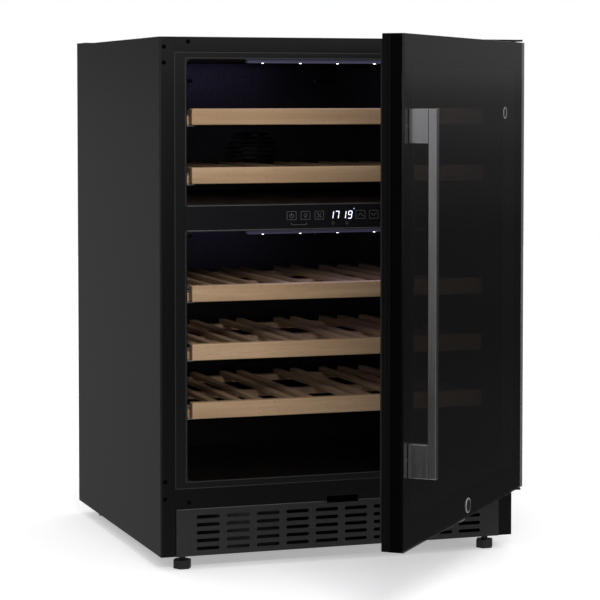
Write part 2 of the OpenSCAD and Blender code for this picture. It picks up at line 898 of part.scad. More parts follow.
module handle_bar() {
    bar_y = door_front - finger_gap;
    color(steel) on_door()
        block(bar_x - bar_s / 2, bar_x + bar_s / 2, bar_y - bar_s, bar_y, bar_bottom, bar_top);
}

module handle_posts() {
    color(steel) on_door() difference() {
        for (z = [post_top, post_bottom])
            block(bar_x - bar_s / 2, bar_x + bar_s / 2, door_front - finger_gap, door_front,
                z - post_h / 2, z + post_h / 2);
        handle_holes(screw_r + screw_gap, door_front - 17, door_front + 1);
    }
}

module handle_screws() {
    color(steel) on_door() {
        handle_holes(screw_r, door_front - 14, trim_front - 0.5);
        handle_holes(4.5, trim_front - 3, trim_front - 0.5);
    }
}

module hinge_bushes() {
    color([0.7, 0.7, 0.68]) on_door() difference() {
        union() {
            rod_z(hinge_x, hinge_y, bush_r, door_z1 - bush_l, door_z1);
            rod_z(hinge_x, hinge_y, bush_r, door_z0, door_z0 + bush_l);
        }
        rod_z(hinge_x, hinge_y, hinge_pin_r + running_gap, door_z1 - bush_l + 1, door_z1 + 1);
        rod_z(hinge_x, hinge_y, hinge_pin_r + running_gap, door_z0 - 1, door_z0 + bush_l - 1);
    }
}

// slotted block under the door that steadies the bolt
module lock_guide() {
    color([0.45, 0.45, 0.46]) on_door() difference() {
        block(-12, 12, door_back - 25, door_back, door_z0 - guide_h, door_z0);
        block(-8, 8, bolt_y - 0.5, door_back + 1, door_z0 - guide_h - 1, door_z0 + 1);
    }
}

module hole_cap() {
    x = door_half - 111;
    z = door_z1 - 112;
    color(dark_steel) on_door() translate([x, door_front, z]) rotate([90, 0, 0])
        rotate_extrude() polygon([[0, 0], [9.2, 0], [9.2, 0.6], [8.4, 1.2], [7.4, 0.7], [0, 0.7]]);
}

module lock_barrel() {
    crank_end = bolt_y + bolt_t;
    crank_xz = crank_r * sqrt(0.5);
    color(steel) on_door() {
        difference() {
            union() {
                rod_y(0, lock_z, barrel_r, door_front - 0.5, bolt_y - 3);
                rod_y(0, lock_z, barrel_r + 0.8, door_front - 1.6, door_front - 0.2);
            }
            block(-0.9, 0.9, door_front - 3, door_front + 8, lock_z - 4, lock_z + 4);
        }
        rod_y(crank_xz, lock_z + crank_xz, crank_pin_r, bolt_y - 4, crank_end);
    }
}

// stem on the crank pin, tongue that reaches into the cabinet, and its barb
module lock_bolt() {
    crank_xz = crank_r * sqrt(0.5);
    pin_z = lock_z + crank_xz;
    color(steel) on_door() {
        difference() {
            block(-7, 7.5, bolt_y, bolt_y + bolt_t, tongue_z, lock_z + 9);
            block(crank_xz - crank_pin_r - 0.4, crank_r + crank_pin_r + 0.5,
                bolt_y - 1, bolt_y + bolt_t + 1,
                pin_z - crank_pin_r - 0.35, pin_z + crank_pin_r + 0.35);
        }
        block(-5, 5, bolt_y, tongue_reach, tongue_z, tongue_z + tongue_t);
        block(-5, 5, tongue_reach - 5, tongue_reach, tongue_z - 3, tongue_z + tongue_t);
    }
}

// ---- feet ----

module foot(x_sign, front) {
    thread_shown = 8;
    color([0.06, 0.06, 0.06]) foot_places([x_sign], front, !front) {
        cylinder(h = foot_h - thread_shown, d = foot_w, $fn = 6);
        rod_z(0, 0, stem_r, 1, foot_h + 18);
    }
}

module foot_front_left() { foot(-1, true); }
module foot_front_right() { foot(1, true); }
module foot_rear_left() { foot(-1, false); }
module foot_rear_right() { foot(1, false); }

left_side_panel();
right_side_panel();
top_panel();
back_panel();
machine_cover();
base_plate();
base_partition();
upper_liner();
lower_liner();
foam_insulation();
zone_divider();
control_panel();
touch_glass();
display_board();
led_strips();
kick_plate();
upper_hinge_bracket();
lower_hinge_bracket();
hinge_screws();
hole_plugs();
compressor();
compressor_mounts();
condenser();
drip_tray();
evaporators();
duct_covers();
fan_motors();
cable_gland();
shelf_runners();
upper_fan();
lower_fan();
condenser_fan();
shelf_1_front();
shelf_1_rack();
shelf_2_front();
shelf_2_rack();
shelf_3_front();
shelf_3_rack();
shelf_4_front();
shelf_4_rack();
shelf_5_front();
shelf_5_rack();
door_frame();
door_inner_trim();
outer_glass();
inner_glass();
glass_spacer();
door_gasket();
handle_bar();
handle_posts();
handle_screws();
hinge_bushes();
lock_guide();
hole_cap();
lock_barrel();
lock_bolt();
foot_front_left();
foot_front_right();
foot_rear_left();
foot_rear_right();
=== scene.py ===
import json
import math

import bpy
from mathutils import Matrix, Vector


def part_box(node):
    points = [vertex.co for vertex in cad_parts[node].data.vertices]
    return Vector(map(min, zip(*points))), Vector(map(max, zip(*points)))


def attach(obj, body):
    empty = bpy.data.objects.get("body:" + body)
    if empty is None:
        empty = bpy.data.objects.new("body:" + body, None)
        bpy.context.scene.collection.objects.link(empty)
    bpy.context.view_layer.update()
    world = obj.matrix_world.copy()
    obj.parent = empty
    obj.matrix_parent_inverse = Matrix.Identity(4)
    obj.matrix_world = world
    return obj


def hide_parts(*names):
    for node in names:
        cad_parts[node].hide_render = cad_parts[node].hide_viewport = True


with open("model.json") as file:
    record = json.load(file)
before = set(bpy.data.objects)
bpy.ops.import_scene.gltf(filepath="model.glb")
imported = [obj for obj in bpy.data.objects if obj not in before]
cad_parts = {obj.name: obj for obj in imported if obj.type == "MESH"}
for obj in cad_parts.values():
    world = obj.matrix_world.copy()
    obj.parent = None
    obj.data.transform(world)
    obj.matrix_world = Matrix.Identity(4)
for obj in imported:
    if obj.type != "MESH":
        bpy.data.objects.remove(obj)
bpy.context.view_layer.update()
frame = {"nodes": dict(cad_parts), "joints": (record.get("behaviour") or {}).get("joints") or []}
nodes = frame["nodes"]
scene = bpy.context.scene
print("frame loaded,", len(nodes), "nodes")

hingeJoint = next(j for j in frame["joints"] if j["name"] == "door_hinge")
hingeLine = Vector(hingeJoint["pos_m"])
openAngle = math.radians(-hingeJoint["range_deg"][0])
swing = (Matrix.Translation(hingeLine) @ Matrix.Rotation(openAngle, 4, "Z")
         @ Matrix.Translation(-hingeLine))
shutTurn = swing.inverted()

# the camera and its lens
camera = {
    "place": (-1.2342, -3.385, 0.7338),
    "down": 2.788,   # degrees below level
    "turn": 18.992,  # degrees to the right of straight ahead
    "lens": 136.63,
    "sensor": 36.0,
    "shiftY": -0.15,
    "clipEnd": 50,
}
lens = bpy.data.cameras.new("camera")
lens.lens = camera["lens"]
lens.sensor_width = camera["sensor"]
lens.shift_y = camera["shiftY"]
lens.clip_end = camera["clipEnd"]
eye = bpy.data.objects.new("camera", lens)
eye.location = camera["place"]
eye.rotation_euler = (math.radians(90 - camera["down"]), 0, math.radians(-camera["turn"]))
scene.collection.objects.link(eye)
scene.camera = eye
scene.view_settings.view_transform = "Standard"
print("camera placed")

# the studio round the object, as the background, matt and glossy surfaces see it
studio = {
    "background": 1.0,
    "sky": 0.84,        # light on matt surfaces, from above and from below
    "ground": 0.16,
    "skyBlend": (-0.15, 0.15),
    # what glossy surfaces see: height of the direction, share of light
    "rightRear": [(-0.20, 0.060), (-0.15, 0.046), (-0.10, 0.034), (-0.06, 0.040),
                  (-0.03, 0.070), (-0.005, 0.12), (0.02, 0.25), (0.10, 0.32)],
    "leftRear": [(-0.20, 0.15), (-0.12, 0.16), (-0.06, 0.155), (-0.01, 0.15),
                 (0.02, 0.11), (0.10, 0.06)],
    "leftFront": [(-0.20, 0.01), (-0.14, 0.012), (-0.09, 0.05), (-0.04, 0.26),
                  (0.0, 0.72), (0.10, 0.90)],
    "rightFront": [(-0.20, 0.10), (-0.14, 0.04), (-0.06, 0.015), (-0.01, 0.05),
                   (0.02, 0.32), (0.10, 0.80)],
    "rearBlend": (0.1, 0.6),       # from the left wall to the right, behind the object
    "frontBlend": (-0.6, 0.1),     # the same in front of it
    "foreBlend": (0.25, -0.15),    # from the rear walls to the front ones
    "deep": 0.85,                  # far below the horizon, as a pale floor would look
    "deepBlend": (-0.24, -0.55),
    # tall softboxes that only gloss sees: compass angle from +Y towards +X, half width
    "towers": [(26, 15), (101, 17), (-158, 15)],
    "towerLight": 0.9,
    "towerCore": 0.4,   # the share of the half width that is fully lit
}


def heightRamp(tree, height, steps, name):
    low, high = steps[0][0], steps[-1][0]
    fit = tree.nodes.new("ShaderNodeMapRange")
    fit.inputs["From Min"].default_value = low
    fit.inputs["From Max"].default_value = high
    ramp = tree.nodes.new("ShaderNodeValToRGB")
    ramp.label = name
    ramp.color_ramp.interpolation = "EASE"
    for number, (place, share) in enumerate(steps):
        spot = (place - low) / (high - low)
        stops = ramp.color_ramp.elements
        stop = stops[number] if number < 2 else stops.new(spot)
        stop.position = spot
        stop.color = (share, share, share * 1.02, 1)
    tree.links.new(height, fit.inputs["Value"])
    tree.links.new(fit.outputs["Result"], ramp.inputs["Fac"])
    return ramp.outputs["Color"]


def smoothStep(tree, value, low, high):
    step = tree.nodes.new("ShaderNodeMapRange")
    step.interpolation_type = "SMOOTHSTEP"
    step.inputs["From Min"].default_value = low
    step.inputs["From Max"].default_value = high
    tree.links.new(value, step.inputs["Value"])
    return step.outputs["Result"]


def mixed(tree, share, first, second):
    mix = tree.nodes.new("ShaderNodeMix")
    mix.data_type = "RGBA"
    tree.links.new(share, mix.inputs[0])
    for socket, colour in ((mix.inputs[6], first), (mix.inputs[7], second)):
        if isinstance(colour, bpy.types.NodeSocket):
            tree.links.new(colour, socket)
        else:
            socket.default_value = (*colour, 1)
    return mix.outputs[2]


def studioWorld():
    world = bpy.data.worlds.new("studio")
    scene.world = world
    world.use_nodes = True
    tree = world.node_tree
    light = tree.nodes["Background"]
    where = tree.nodes.new("ShaderNodeTexCoord")
    parts = tree.nodes.new("ShaderNodeSeparateXYZ")
    tree.links.new(where.outputs["Generated"], parts.inputs[0])
    rear = smoothStep(tree, parts.outputs["X"], *studio["rearBlend"])
    front = smoothStep(tree, parts.outputs["X"], *studio["frontBlend"])
    fore = smoothStep(tree, parts.outputs["Y"], *studio["foreBlend"])
    seenRear = [heightRamp(tree, parts.outputs["Z"], studio[key], key)
                for key in ("leftRear", "rightRear")]
    seenFront = [heightRamp(tree, parts.outputs["Z"], studio[key], key)
                 for key in ("leftFront", "rightFront")]
    glossy = mixed(tree, fore, mixed(tree, rear, *seenRear), mixed(tree, front, *seenFront))
    compass = tree.nodes.new("ShaderNodeMath")
    compass.operation = "ARCTAN2"
    tree.links.new(parts.outputs["X"], compass.inputs[0])
    tree.links.new(parts.outputs["Y"], compass.inputs[1])
    for middle, half in studio["towers"]:
        away = tree.nodes.new("ShaderNodeMath")
        away.operation = "SUBTRACT"
        away.inputs[1].default_value = math.radians(middle)
        tree.links.new(compass.outputs[0], away.inputs[0])
        size = tree.nodes.new("ShaderNodeMath")
        size.operation = "ABSOLUTE"
        tree.links.new(away.outputs[0], size.inputs[0])
        share = smoothStep(tree, size.outputs[0], math.radians(half),
                           math.radians(half * studio["towerCore"]))
        glossy = mixed(tree, share, glossy, [studio["towerLight"]] * 3)
    glossy = mixed(tree, smoothStep(tree, parts.outputs["Z"], *studio["deepBlend"]), glossy,
                   [studio["deep"]] * 3)
    matt = mixed(tree, smoothStep(tree, parts.outputs["Z"], *studio["skyBlend"]),
                 [studio["ground"]] * 3, [studio["sky"]] * 3)
    path = tree.nodes.new("ShaderNodeLightPath")
    lit = mixed(tree, path.outputs["Is Glossy Ray"], matt, glossy)
    seen = mixed(tree, path.outputs["Is Camera Ray"], lit, [studio["background"]] * 3)
    tree.links.new(seen, light.inputs["Color"])


def areaLight(name, place, aim, size, watts, colour=(1, 1, 1), glossy=True):
    lamp = bpy.data.lights.new(name, "AREA")
    lamp.shape = "RECTANGLE"
    lamp.size, lamp.size_y = size
    lamp.energy = watts
    lamp.color = colour
    holder = bpy.data.objects.new(name, lamp)
    holder.location = place
    holder.rotation_euler = (Vector(aim) - Vector(place)).to_track_quat("-Z", "Y").to_euler()
    holder.visible_glossy = glossy
    holder.visible_camera = False
    scene.collection.objects.link(holder)


# one softbox in front, and a small lamp under each zone's light strip
lamps = {
    "frontPlace": (-0.33, -1.7, 1.06),
    "frontAim": (-0.12, 0, 0.80),
    "frontSize": (0.62, 0.2),
    "frontWatts": 14,
    "zoneY": 0.02,
    "zoneAimY": 0.075,
    "zoneAimDown": 0.1,
    "zoneSize": (0.29, 0.008),
    "zoneWatts": 0.14,
    "zoneColour": (0.48, 0.46, 1.0),
    "upperBelow": 0.0068,   # under the top of the upper strip
    "lowerBelow": 0.0008,   # under the foot of the lower strip
}
studioWorld()
areaLight("frontSoftbox", lamps["frontPlace"], lamps["frontAim"], lamps["frontSize"],
          lamps["frontWatts"], glossy=False)
stripLow, stripHigh = (corner.copy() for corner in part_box("led_strips"))
for zone, beneath in (("upper", stripHigh.z - lamps["upperBelow"]),
                      ("lower", stripLow.z - lamps["lowerBelow"])):
    areaLight(zone + "ZoneLight", (0, lamps["zoneY"], beneath),
              (0, lamps["zoneAimY"], beneath - lamps["zoneAimDown"]),
              lamps["zoneSize"], lamps["zoneWatts"], lamps["zoneColour"])
print("studio lit")


def clearSelection():
    if bpy.context.object and bpy.context.object.mode != "OBJECT":
        bpy.ops.object.mode_set(mode="OBJECT")
    bpy.ops.object.select_all(action="DESELECT")


def takeUp(piece):
    clearSelection()
    piece.select_set(True)
    bpy.context.view_layer.objects.active = piece


def settled(name, size=(1, 1, 1)):
    piece = bpy.context.object
    piece.name = piece.data.name = name
    piece.scale = size
    bpy.ops.object.transform_apply(location=True, rotation=True, scale=True)
    return piece


def block(name, low, high):
    clearSelection()
    low, high = Vector(low), Vector(high)
    bpy.ops.mesh.primitive_cube_add(size=1, location=(low + high) / 2)
    return settled(name, high - low)


def drum(name, centre, radius, depth, axis="Y", sides=48):
    clearSelection()
    turn = (0, 0, 0) if axis == "Z" else (math.pi / 2, 0, 0)
    bpy.ops.mesh.primitive_cylinder_add(
        vertices=sides, radius=radius, depth=depth, location=centre, rotation=turn)
    return settled(name)


def chooseFaces(piece, test):
    takeUp(piece)
    bpy.ops.object.mode_set(mode="EDIT")
    bpy.ops.mesh.select_mode(type="FACE")
    bpy.ops.mesh.select_all(action="DESELECT")
    bpy.ops.object.mode_set(mode="OBJECT")
    for face in piece.data.polygons:
        face.select = test(face.center, face.normal)
    bpy.ops.object.mode_set(mode="EDIT")


def chooseEdges(piece, test):
    takeUp(piece)
    bpy.ops.object.mode_set(mode="EDIT")
    bpy.ops.mesh.select_mode(type="EDGE")
    bpy.ops.mesh.select_all(action="DESELECT")
    bpy.ops.object.mode_set(mode="OBJECT")
    points = piece.data.vertices
    for edge in piece.data.edges:
        edge.select = test(*(points[number].co for number in edge.vertices))
    bpy.ops.object.mode_set(mode="EDIT")


def leaveEdit():
    bpy.ops.object.mode_set(mode="OBJECT")


def facesOutward(piece):
    takeUp(piece)
    bpy.ops.object.mode_set(mode="EDIT")
    bpy.ops.mesh.select_all(action="SELECT")
    bpy.ops.mesh.normals_make_consistent(inside=False)
    leaveEdit()


def eased(piece, width, steps=2):
    takeUp(piece)
    cut = piece.modifiers.new("eased edges", "BEVEL")
    cut.width = width
    cut.segments = steps
    cut.limit_method = "ANGLE"
    cut.angle_limit = math.radians(30)
    bpy.ops.object.modifier_apply(modifier=cut.name)
    bpy.ops.object.shade_smooth_by_angle(angle=math.radians(50))
    even = piece.modifiers.new("even shading", "WEIGHTED_NORMAL")
    even.keep_sharp = True
    bpy.ops.object.modifier_apply(modifier=even.name)
    return piece


def ring(name, low, high, rail):
    piece = block(name, low, high)
    chooseFaces(piece, lambda centre, normal: abs(normal.y) > 0.9)
    bpy.ops.mesh.inset(thickness=rail, use_individual=True)
    bpy.ops.mesh.bridge_edge_loops()
    leaveEdit()
    facesOutward(piece)
    return piece


def annulus(name, centre, outer, rail, depth):
    piece = drum(name, centre, outer, depth)
    chooseFaces(piece, lambda middle, normal: abs(normal.y) > 0.9)
    bpy.ops.mesh.inset(thickness=rail, use_individual=True)
    bpy.ops.mesh.bridge_edge_loops()
    leaveEdit()
    facesOutward(piece)
    return piece


def softened(node, name, width):
    # a copy of a CAD node with its loose triangles merged and its edges eased
    clearSelection()
    piece = bpy.data.objects.new(name, nodes[node].data.copy())
    piece.data.name = name
    scene.collection.objects.link(piece)
    takeUp(piece)
    piece.data.materials.clear()
    bpy.ops.mesh.customdata_custom_splitnormals_clear()
    bpy.ops.object.mode_set(mode="EDIT")
    bpy.ops.mesh.select_all(action="SELECT")
    bpy.ops.mesh.remove_doubles(threshold=1e-5)
    bpy.ops.mesh.dissolve_limited(angle_limit=math.radians(1))
    leaveEdit()
    return eased(piece, width)


def joined(name, pieces):
    takeUp(pieces[0])
    for piece in pieces[1:]:
        piece.select_set(True)
    bpy.ops.object.join()
    pieces[0].name = pieces[0].data.name = name
    return pieces[0]


def copied(piece, name, shift):
    clearSelection()
    twin = bpy.data.objects.new(name, piece.data.copy())
    twin.data.name = name
    scene.collection.objects.link(twin)
    takeUp(twin)
    twin.location = shift
    bpy.ops.object.transform_apply(location=True, rotation=True, scale=True)
    return twin


def swung(piece):
    # door pieces are built shut, then turned to where the door rests
    takeUp(piece)
    piece.matrix_world = swing
    bpy.ops.object.transform_apply(location=True, rotation=True, scale=True)
    return piece


def shutBox(node):
    places = [shutTurn @ point.co for point in nodes[node].data.vertices]
    return (Vector([min(p[i] for p in places) for i in range(3)]),
            Vector([max(p[i] for p in places) for i in range(3)]))


def finished(piece, body, slot, finish, *replaced):
    piece.data.materials.clear()
    piece.data.materials.append(finish)
    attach(piece, body)
    if replaced:
        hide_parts(*replaced)
    return piece


def newFinish(name, metallic=0.0, ior=1.5, coat=0.0):
    finish = bpy.data.materials.new(name)
    finish.use_nodes = True
    tree = finish.node_tree
    shader = tree.nodes["Principled BSDF"]
    shader.inputs["Metallic"].default_value = metallic
    shader.inputs["IOR"].default_value = ior
    shader.inputs["Coat Weight"].default_value = coat
    shader.inputs["Coat Roughness"].default_value = 0.1
    return finish, tree, shader


def spread(tree, stretch=(1, 1, 1)):
    where = tree.nodes.new("ShaderNodeTexCoord")
    size = tree.nodes.new("ShaderNodeMapping")
    size.inputs["Scale"].default_value = stretch
    tree.links.new(where.outputs["Object"], size.inputs["Vector"])
    return size.outputs["Vector"]


def cloud(tree, places, scale, detail=2.0):
    noise = tree.nodes.new("ShaderNodeTexNoise")
    noise.inputs["Scale"].default_value = scale
    noise.inputs["Detail"].default_value = detail
    tree.links.new(places, noise.inputs["Vector"])
    return noise.outputs["Fac"]


def ranged(tree, value, low, high, fromLow=0.3, fromHigh=0.7):
    fit = tree.nodes.new("ShaderNodeMapRange")
    for socket, number in (("From Min", fromLow), ("From Max", fromHigh),
                           ("To Min", low), ("To Max", high)):
        fit.inputs[socket].default_value = number
    tree.links.new(value, fit.inputs["Value"])
    return fit.outputs["Result"]


def relief(tree, shader, height, depth):
    bump = tree.nodes.new("ShaderNodeBump")
    bump.inputs["Distance"].default_value = depth
    tree.links.new(height, bump.inputs["Height"])
    tree.links.new(bump.outputs["Normal"], shader.inputs["Normal"])


def mottled(name, dark, light, patch, grain, rough, depth, metallic=0.0, ior=1.5, coat=0.0,
            shine=0.5):
    # broad tone patches, a fine grain that also breaks up the gloss
    finish, tree, shader = newFinish(name, metallic, ior, coat)
    shader.inputs["Specular IOR Level"].default_value = shine
    places = spread(tree)
    broad = cloud(tree, places, patch, 3.0)
    fine = cloud(tree, places, grain, 2.0)
    tone = mixed(tree, ranged(tree, broad, 0, 1), dark, light)
    tree.links.new(tone, shader.inputs["Base Color"])
    tree.links.new(ranged(tree, fine, *rough), shader.inputs["Roughness"])
    relief(tree, shader, fine, depth)
    return finish


def spangled(name, dark, light, cell, rough):
    # zinc crystals, each with its own tone and gloss
    finish, tree, shader = newFinish(name, 0.85)
    crystal = tree.nodes.new("ShaderNodeTexVoronoi")
    crystal.inputs["Scale"].default_value = cell
    places = spread(tree)
    tree.links.new(places, crystal.inputs["Vector"])
    grey = tree.nodes.new("ShaderNodeSeparateColor")
    tree.links.new(crystal.outputs["Color"], grey.inputs[0])
    tree.links.new(mixed(tree, grey.outputs[0], dark, light), shader.inputs["Base Color"])
    tree.links.new(ranged(tree, grey.outputs[1], *rough, 0, 1), shader.inputs["Roughness"])
    relief(tree, shader, cloud(tree, places, 500), 0.00005)
    return finish


def brushed(name, dark, light, along, rough):
    # hairlines run along one axis, with slow changes of tone
    stretch = [14.0 if axis == along else 2240.0 for axis in "XYZ"]
    finish, tree, shader = newFinish(name, 1.0)
    hair = cloud(tree, spread(tree, stretch), 1.0, 3.0)
    slow = cloud(tree, spread(tree), 9.0, 2.0)
    tone = mixed(tree, ranged(tree, hair, 0, 1, 0.25, 0.75), dark, light)
    tree.links.new(tone, shader.inputs["Base Color"])
    both = tree.nodes.new("ShaderNodeMath")
    both.operation = "MULTIPLY_ADD"
    both.inputs[1].default_value = 0.3
    tree.links.new(slow, both.inputs[0])
    tree.links.new(hair, both.inputs[2])
    tree.links.new(ranged(tree, both.outputs[0], *rough, 0.35, 0.95), shader.inputs["Roughness"])
    relief(tree, shader, hair, 0.00003)
    return finish


# beech: fibres, broad bands and short ray flecks, each drawn out along the grain
wood = {
    "pale": (0.56, 0.385, 0.235),
    "deep": (0.40, 0.255, 0.145),
    "fleck": (0.30, 0.175, 0.095),
    "rough": (0.5, 0.66),
    "fibreAlong": 0.06,
    "bandAlong": 0.048,
    "rayAlong": 0.25,
}


def beech(name, along):
    finish, tree, shader = newFinish(name)
    grain = {key: spread(tree, [wood[key] if axis == along else 1.0 for axis in "XYZ"])
             for key in ("fibreAlong", "bandAlong", "rayAlong")}
    fibre = cloud(tree, grain["fibreAlong"], 420.0, 4.0)
    bands = cloud(tree, grain["bandAlong"], 60.0, 2.0)
    rays = cloud(tree, grain["rayAlong"], 900.0, 1.0)
    body = mixed(tree, ranged(tree, bands, 0, 1), wood["pale"], wood["deep"])
    streaked = mixed(tree, ranged(tree, fibre, 0, 0.55, 0.45, 0.75), body, wood["deep"])
    flecked = mixed(tree, ranged(tree, rays, 0, 0.7, 0.64, 0.72), streaked, wood["fleck"])
    tree.links.new(flecked, shader.inputs["Base Color"])
    tree.links.new(ranged(tree, fibre, *wood["rough"]), shader.inputs["Roughness"])
    relief(tree, shader, fibre, 0.00012)
    return finish


def tintedGlass(name, tint, alpha, rough):
    # alpha is how much the tint hides what stands behind
    finish, tree, shader = newFinish(name)
    places = spread(tree)
    film = cloud(tree, places, 7.0, 3.0)
    tone = mixed(tree, ranged(tree, film, 0, 1), tint, [c * 1.25 for c in tint])
    tree.links.new(tone, shader.inputs["Base Color"])
    tree.links.new(ranged(tree, film, *rough), shader.inputs["Roughness"])
    shader.inputs["Alpha"].default_value = alpha
    return finish


def glowing(name, colour, strength):
    finish, tree, shader = newFinish(name)
    shader.inputs["Emission Color"].default_value = (*colour, 1)
    shader.inputs["Emission Strength"].default_value = strength
    places = spread(tree)
    tone = mixed(tree, ranged(tree, cloud(tree, places, 300), 0, 1),
                 [c * 0.6 for c in colour], [c * 0.7 for c in colour])
    tree.links.new(tone, shader.inputs["Base Color"])
    tree.links.new(ranged(tree, cloud(tree, places, 40), 0.35, 0.5), shader.inputs["Roughness"])
    return finish


# tones dark and light, patch scale, grain scale, roughness range, relief depth
casingPaint = mottled("casingPaint", (0.0016, 0.0016, 0.0017), (0.0025, 0.0025, 0.0026),
                      4.0, 900.0, (0.20, 0.27), 0.00003)
innerSteel = mottled("innerSteel", (0.02, 0.02, 0.021), (0.03, 0.03, 0.031),
                     9.0, 700.0, (0.4, 0.55), 0.00004, 0.3)
linerPlastic = mottled("linerPlastic", (0.0016, 0.0016, 0.0019), (0.0026, 0.0026, 0.003),
                       6.0, 1100.0, (0.24, 0.36), 0.00004)
# painted highlight: lighter plastic for the rim edges that catch the light
paintedRimHighlight = mottled("paintedRimHighlight", (0.028, 0.028, 0.029), (0.038, 0.038, 0.039),
                      16.0, 1200.0, (0.25, 0.35), 0.00003)
# painted highlight: a pale finish for thin edges that catch the light
paintedEdgeHighlight = mottled("paintedEdgeHighlight", (0.09, 0.09, 0.093), (0.13, 0.13, 0.134),
                    16.0, 1200.0, (0.25, 0.35), 0.00003)
framePlastic = mottled("framePlastic", (0.0003, 0.0003, 0.00033), (0.0006, 0.0006, 0.00065),
                       12.0, 1400.0, (0.35, 0.5), 0.00003, shine=0.03)
footPlastic = mottled("footPlastic", (0.006, 0.006, 0.0065), (0.01, 0.01, 0.0105),
                      22.0, 1400.0, (0.4, 0.55), 0.00005)
kickPlastic = mottled("kickPlastic", (0.013, 0.013, 0.0134), (0.019, 0.019, 0.0194),
                      10.0, 1200.0, (0.36, 0.48), 0.00006)
trimGrey = mottled("trimGrey", (0.0010, 0.0010, 0.0010), (0.0016, 0.0016, 0.0016),
                   10.0, 1300.0, (0.4, 0.52), 0.00004, shine=0.08)
paleGrey = mottled("paleGrey", (0.30, 0.30, 0.29), (0.36, 0.36, 0.35),
                   25.0, 1300.0, (0.4, 0.55), 0.00005)
softRubber = mottled("softRubber", (0.003, 0.003, 0.003), (0.006, 0.006, 0.006),
                     30.0, 1800.0, (0.5, 0.7), 0.00006, ior=1.45)
# painted highlight: a lighter rubber for the lit ridge of the seal
paintedGasketHighlight = mottled("paintedGasketHighlight", (0.022, 0.022, 0.023), (0.032, 0.032, 0.033),
                     30.0, 1800.0, (0.45, 0.6), 0.00004)
foam = mottled("foam", (0.62, 0.52, 0.30), (0.74, 0.65, 0.42),
               40.0, 500.0, (0.8, 0.95), 0.0004)
fanPlastic = mottled("fanPlastic", (0.03, 0.03, 0.032), (0.045, 0.045, 0.047),
                     30.0, 1200.0, (0.4, 0.5), 0.00004)
compressorPaint = mottled("compressorPaint", (0.012, 0.012, 0.013), (0.02, 0.02, 0.021),
                          14.0, 260.0, (0.25, 0.4), 0.00015, coat=0.3)
circuitGreen = mottled("circuitGreen", (0.01, 0.09, 0.035), (0.02, 0.13, 0.05),
                       260.0, 900.0, (0.3, 0.45), 0.00006)
finMetal = brushed("finMetal", (0.62, 0.63, 0.64), (0.74, 0.75, 0.76), "Z", (0.3, 0.45))
zincSteel = spangled("zincSteel", (0.42, 0.43, 0.44), (0.62, 0.63, 0.64), 130.0, (0.3, 0.5))
handleMetal = brushed("handleMetal", (0.29, 0.29, 0.295), (0.38, 0.38, 0.385), "Z",
                      (0.17, 0.25))
brightMetal = mottled("brightMetal", (0.60, 0.60, 0.61), (0.72, 0.72, 0.73),
                      40.0, 1500.0, (0.2, 0.32), 0.00001, 0.55)
lockMetal = mottled("lockMetal", (0.035, 0.035, 0.037), (0.05, 0.05, 0.052),
                    60.0, 1500.0, (0.2, 0.3), 0.00002, 0.7)
darkMetal = mottled("darkMetal", (0.008, 0.008, 0.0085), (0.015, 0.015, 0.0155),
                    40.0, 1500.0, (0.25, 0.35), 0.00002, 0.3)
beechAcross = beech("beechAcross", "X")
beechDeep = beech("beechDeep", "Y")
doorGlass = tintedGlass("doorGlass", (0.0036, 0.0036, 0.0038), 0.70, (0.03, 0.05))
paneGlass = tintedGlass("paneGlass", (0.004, 0.004, 0.0042), 0.10, (0.03, 0.06))
panelGlass = tintedGlass("panelGlass", (0.009, 0.009, 0.0102), 1.0, (0.10, 0.14))
diffuser = glowing("diffuser", (0.07, 0.07, 0.12), 0.3)
ledGlow = glowing("ledGlow", (0.78, 0.82, 1.0), 7.0)
digitGlow = glowing("digitGlow", (0.80, 0.82, 1.0), 1.5)
iconInk = mottled("iconInk", (0.12, 0.12, 0.13), (0.16, 0.16, 0.17),
                  200.0, 1500.0, (0.45, 0.55), 0.00001)

# the finish of each of the record's material slots
slotFinish = {
    "black_steel": casingPaint, "dark_steel": innerSteel, "galvanised_steel": zincSteel,
    "black_plastic": framePlastic, "liner_plastic": linerPlastic, "insulation_foam": foam,
    "panel_glass": panelGlass, "circuit_board": circuitGreen, "light_diffuser": diffuser,
    "compressor_steel": compressorPaint, "rubber": softRubber, "aluminium_fins": finMetal,
    "fan_plastic": fanPlastic, "beech": beechDeep, "door_glass": doorGlass,
    "inner_pane": paneGlass, "handle_steel": handleMetal, "bright_steel": brightMetal,
    "grey_plastic": trimGrey,
}
for node in nodes.values():
    for number, old in enumerate(node.data.materials):
        key = old.name.split(".")[0]
        node.data.materials[number] = slotFinish.get(key, framePlastic)
print("finishes made")

# folded sheets of the casing
casing = {
    "sheet": 0.001,
    "foldRound": 0.0022,
    "foldSteps": 4,
    "frontFlange": 0.024,
    "rearFlange": 0.015,
    "edge": 0.0003,
}


